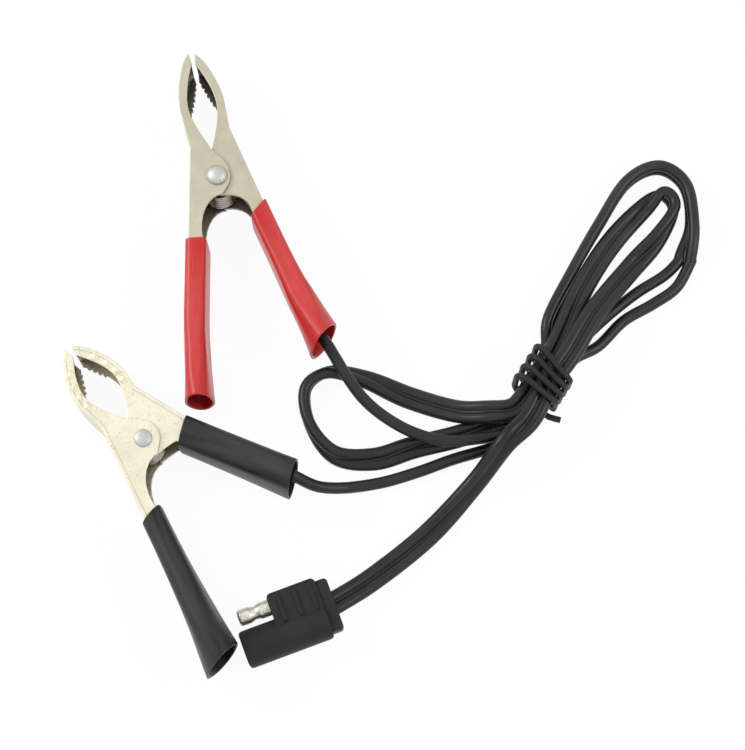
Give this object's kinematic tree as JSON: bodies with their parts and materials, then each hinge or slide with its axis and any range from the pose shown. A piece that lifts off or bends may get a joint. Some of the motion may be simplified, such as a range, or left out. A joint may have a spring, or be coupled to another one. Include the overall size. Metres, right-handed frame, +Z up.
{
  "type": "battery clip lead",
  "caption": "Flat-lying lead with a pin-and-socket quick connector, a tied flat two-core cable and sprung steel battery clips with red and black grips.",
  "frame": {"origin": "on the table, under the centre of the bounding box of the connector and the two clips", "axes": "+Z up from the table, +Y towards the tip of the red clip, +X towards the loops of the cable"},
  "size_m": [0.18, 0.1758, 0.0198],
  "materials": {
    "cable_pvc": "satin",
    "tie_plastic": "satin",
    "housing_rubber": "matte",
    "tinned_contact": "dull tin plate",
    "clip_steel_satin": "satin nickel plate",
    "clip_steel_bright": "bright nickel plate",
    "rivet_steel": "satin",
    "spring_steel": "satin",
    "red_pvc": "gloss",
    "black_pvc": "satin",
    "copper_strand": "bare copper"
  },
  "bodies": {
    "lead_and_clips": {"two_core_cable": "cable_pvc", "red_lead": "cable_pvc", "black_lead": "cable_pvc", "cable_tie": "tie_plastic", "connector_housing": "housing_rubber", "male_terminal": "tinned_contact", "female_terminal": "tinned_contact", "red_inner_lever": "clip_steel_satin", "red_rivet": "rivet_steel", "red_spring": "spring_steel", "red_inner_sleeve": "red_pvc", "red_conductor": "copper_strand", "red_crimp": "clip_steel_satin", "black_outer_lever": "clip_steel_bright", "black_rivet": "rivet_steel", "black_spring": "spring_steel", "black_outer_sleeve": "black_pvc"},
    "red_free_lever": {"red_outer_lever": "clip_steel_satin", "red_outer_sleeve": "red_pvc"},
    "black_wired_lever": {"black_inner_lever": "clip_steel_bright", "black_inner_sleeve": "black_pvc", "black_conductor": "copper_strand", "black_crimp": "clip_steel_bright"}
  },
  "joints": [
    {"name": "red_clip_jaw", "type": "hinge", "parent": "lead_and_clips", "child": "red_free_lever", "pos_m": [0.0029, 0.0504, 0.01], "axis": [0, 0, 1], "range_deg": [0, 20], "stiffness_Nm_per_rad": 0.5, "springref_deg": -45.84, "deforming": ["red_spring"]},
    {"name": "black_clip_jaw", "type": "hinge", "parent": "lead_and_clips", "child": "black_wired_lever", "pos_m": [-0.0159, -0.0258, 0.01], "axis": [0, 0, -1], "range_deg": [0, 26], "stiffness_Nm_per_rad": 0.5, "springref_deg": -45.84, "deforming": ["black_spring", "black_lead"]}
  ]
}
